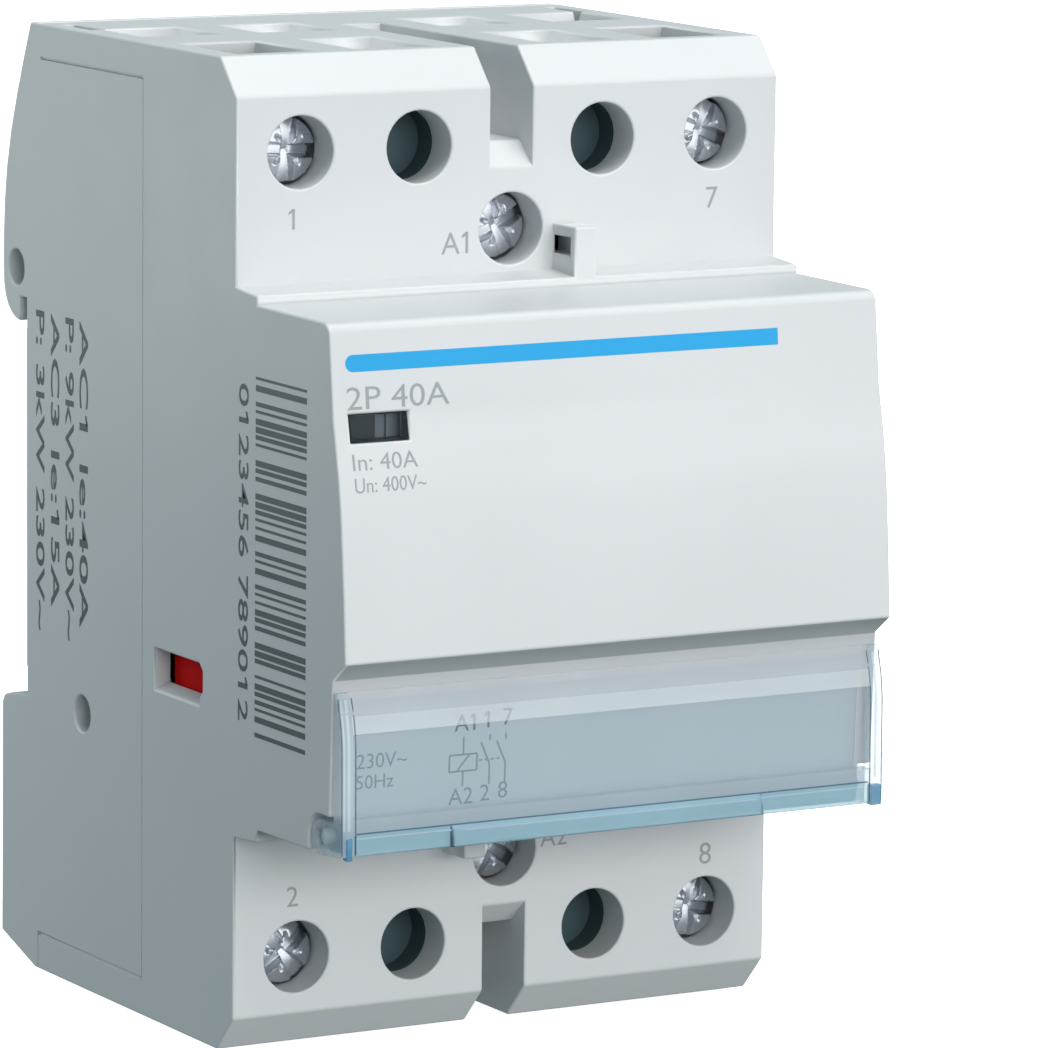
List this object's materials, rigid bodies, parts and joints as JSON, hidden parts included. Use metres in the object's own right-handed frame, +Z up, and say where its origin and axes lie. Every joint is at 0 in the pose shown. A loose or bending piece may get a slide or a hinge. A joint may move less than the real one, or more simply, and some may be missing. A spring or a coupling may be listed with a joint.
{
  "type": "din rail contactor",
  "caption": "Three-module DIN rail contactor with two poles, screw clamps at both ends, stepped nose, status window and hinged clear label cover.",
  "frame": {"origin": "centre of the seat face that rests on the front of the rail, midway across the width and midway in the rail recess", "axes": "+Y points back at the rail, so the front faces -Y; +X runs across the width; +Z up, towards terminals 1, 7 and A1"},
  "size_m": [0.0524, 0.0652, 0.0852],
  "materials": {
    "housing_rear": "fine matt, light grey",
    "housing_front": "fine matt, very light grey",
    "inner_frame": "matt black",
    "clear_cover": "clear, bluish",
    "label": "printed, pale blue-grey",
    "indicator_lens": "smoked clear",
    "flag": "satin",
    "pin_steel": "polished",
    "rail_clip": "satin dark grey",
    "spring_steel": "drawn wire",
    "cushion_rubber": "matt",
    "core_steel": "laminated",
    "ring_copper": "satin copper",
    "bobbin": "satin ivory",
    "winding": "enamelled copper",
    "lead_copper": "enamelled copper",
    "armature_steel": "laminated",
    "carrier": "satin dark red",
    "screw_zinc": "bright zinc",
    "contact_copper": "bright copper",
    "clamp_steel": "zinc plated",
    "strip_brass": "satin"
  },
  "bodies": {
    "housing": {"rear_base": "housing_rear", "front_housing": "housing_front", "contact_base": "inner_frame", "label_card": "label", "indicator_lens": "indicator_lens", "flag_pin": "pin_steel", "clip_spring": "spring_steel", "core_cushion": "cushion_rubber", "fixed_core": "core_steel", "shading_rings": "ring_copper", "coil_bobbin": "bobbin", "coil_winding": "winding", "coil_leads": "lead_copper", "return_springs": "spring_steel", "base_screws": "screw_zinc", "fixed_contact_1": "contact_copper", "fixed_contact_2": "contact_copper", "fixed_contact_7": "contact_copper", "fixed_contact_8": "contact_copper", "coil_strip_a1": "strip_brass", "coil_strip_a2": "strip_brass", "clamp_frame_1": "clamp_steel", "clamp_frame_2": "clamp_steel", "clamp_frame_7": "clamp_steel", "clamp_frame_8": "clamp_steel", "clamp_frame_a1": "clamp_steel", "clamp_frame_a2": "clamp_steel"},
    "cover": {"label_cover": "clear_cover"},
    "flag": {"indicator_flag": "flag"},
    "clip": {"din_clip": "rail_clip"},
    "carrier": {"contact_carrier": "carrier", "armature": "armature_steel", "armature_pin": "pin_steel", "contact_spring_left": "spring_steel", "contact_spring_right": "spring_steel"},
    "bridge_left": {"contact_bridge_left": "contact_copper"},
    "bridge_right": {"contact_bridge_right": "contact_copper"},
    "pad_1": {"clamp_pad_1": "clamp_steel"},
    "screw_1": {"terminal_screw_1": "screw_zinc"},
    "pad_2": {"clamp_pad_2": "clamp_steel"},
    "screw_2": {"terminal_screw_2": "screw_zinc"},
    "pad_7": {"clamp_pad_7": "clamp_steel"},
    "screw_7": {"terminal_screw_7": "screw_zinc"},
    "pad_8": {"clamp_pad_8": "clamp_steel"},
    "screw_8": {"terminal_screw_8": "screw_zinc"},
    "pad_a1": {"clamp_pad_a1": "clamp_steel"},
    "screw_a1": {"terminal_screw_a1": "screw_zinc"},
    "pad_a2": {"clamp_pad_a2": "clamp_steel"},
    "screw_a2": {"terminal_screw_a2": "screw_zinc"}
  },
  "joints": [
    {"name": "cover_hinge", "type": "hinge", "parent": "housing", "child": "cover", "pos_m": [0, -0.0556, -0.02045], "axis": [1, 0, 0], "range_deg": [0, 100]},
    {"name": "carrier_slide", "type": "slide", "parent": "housing", "child": "carrier", "axis": [0, 1, 0], "range_m": [0, 0.0028], "stiffness_N_per_m": 600, "springref_m": -0.003, "deforming": ["return_springs"]},
    {"name": "flag_turn", "type": "hinge", "parent": "housing", "child": "flag", "pos_m": [-0.0215, -0.047, 0.0135], "axis": [0, 0, 1], "range_deg": [0, 23]},
    {"name": "clip_slide", "type": "slide", "parent": "housing", "child": "clip", "axis": [0, 0, -1], "range_m": [0, 0.004], "stiffness_N_per_m": 1500, "springref_m": -0.002, "deforming": ["clip_spring"]},
    {"name": "bridge_left_give", "type": "slide", "parent": "carrier", "child": "bridge_left", "axis": [0, 1, 0], "range_m": [-0.0008, 0], "deforming": ["contact_spring_left"]},
    {"name": "bridge_right_give", "type": "slide", "parent": "carrier", "child": "bridge_right", "axis": [0, 1, 0], "range_m": [-0.0008, 0], "deforming": ["contact_spring_right"]},
    {"name": "pad_slide_1", "type": "slide", "parent": "housing", "child": "pad_1", "axis": [0, 1, 0], "range_m": [0, 0.0028]},
    {"name": "screw_turn_1", "type": "hinge", "parent": "pad_1", "child": "screw_1", "pos_m": [-0.02015, -0.0363, 0.0342], "axis": [0, 1, 0], "range_deg": [0, 1262.52]},
    {"name": "pad_slide_2", "type": "slide", "parent": "housing", "child": "pad_2", "axis": [0, 1, 0], "range_m": [0, 0.0028]},
    {"name": "screw_turn_2", "type": "hinge", "parent": "pad_2", "child": "screw_2", "pos_m": [-0.02015, -0.0363, -0.0342], "axis": [0, 1, 0], "range_deg": [0, 1262.52]},
    {"name": "pad_slide_7", "type": "slide", "parent": "housing", "child": "pad_7", "axis": [0, 1, 0], "range_m": [0, 0.0028]},
    {"name": "screw_turn_7", "type": "hinge", "parent": "pad_7", "child": "screw_7", "pos_m": [0.02015, -0.0363, 0.0342], "axis": [0, 1, 0], "range_deg": [0, 1262.52]},
    {"name": "pad_slide_8", "type": "slide", "parent": "housing", "child": "pad_8", "axis": [0, 1, 0], "range_m": [0, 0.0028]},
    {"name": "screw_turn_8", "type": "hinge", "parent": "pad_8", "child": "screw_8", "pos_m": [0.02015, -0.0363, -0.0342], "axis": [0, 1, 0], "range_deg": [0, 1262.52]},
    {"name": "pad_slide_a1", "type": "slide", "parent": "housing", "child": "pad_a1", "axis": [0, 1, 0], "range_m": [0, 0.0028]},
    {"name": "screw_turn_a1", "type": "hinge", "parent": "pad_a1", "child": "screw_a1", "pos_m": [0, -0.0363, 0.0269], "axis": [0, 1, 0], "range_deg": [0, 1683.36]},
    {"name": "pad_slide_a2", "type": "slide", "parent": "housing", "child": "pad_a2", "axis": [0, 1, 0], "range_m": [0, 0.0028]},
    {"name": "screw_turn_a2", "type": "hinge", "parent": "pad_a2", "child": "screw_a2", "pos_m": [0, -0.0363, -0.0269], "axis": [0, 1, 0], "range_deg": [0, 1683.36]}
  ],
  "couplings": [
    {"joint": "flag_turn", "follows": "carrier_slide", "rad_per_m": 142.86},
    {"joint": "bridge_left_give", "follows": "carrier_slide", "ratio": -0.27},
    {"joint": "bridge_right_give", "follows": "carrier_slide", "ratio": -0.27},
    {"joint": "screw_turn_1", "follows": "pad_slide_1", "rad_per_m": 7854},
    {"joint": "screw_turn_2", "follows": "pad_slide_2", "rad_per_m": 7854},
    {"joint": "screw_turn_7", "follows": "pad_slide_7", "rad_per_m": 7854},
    {"joint": "screw_turn_8", "follows": "pad_slide_8", "rad_per_m": 7854},
    {"joint": "screw_turn_a1", "follows": "pad_slide_a1", "rad_per_m": 10472},
    {"joint": "screw_turn_a2", "follows": "pad_slide_a2", "rad_per_m": 10472}
  ]
}
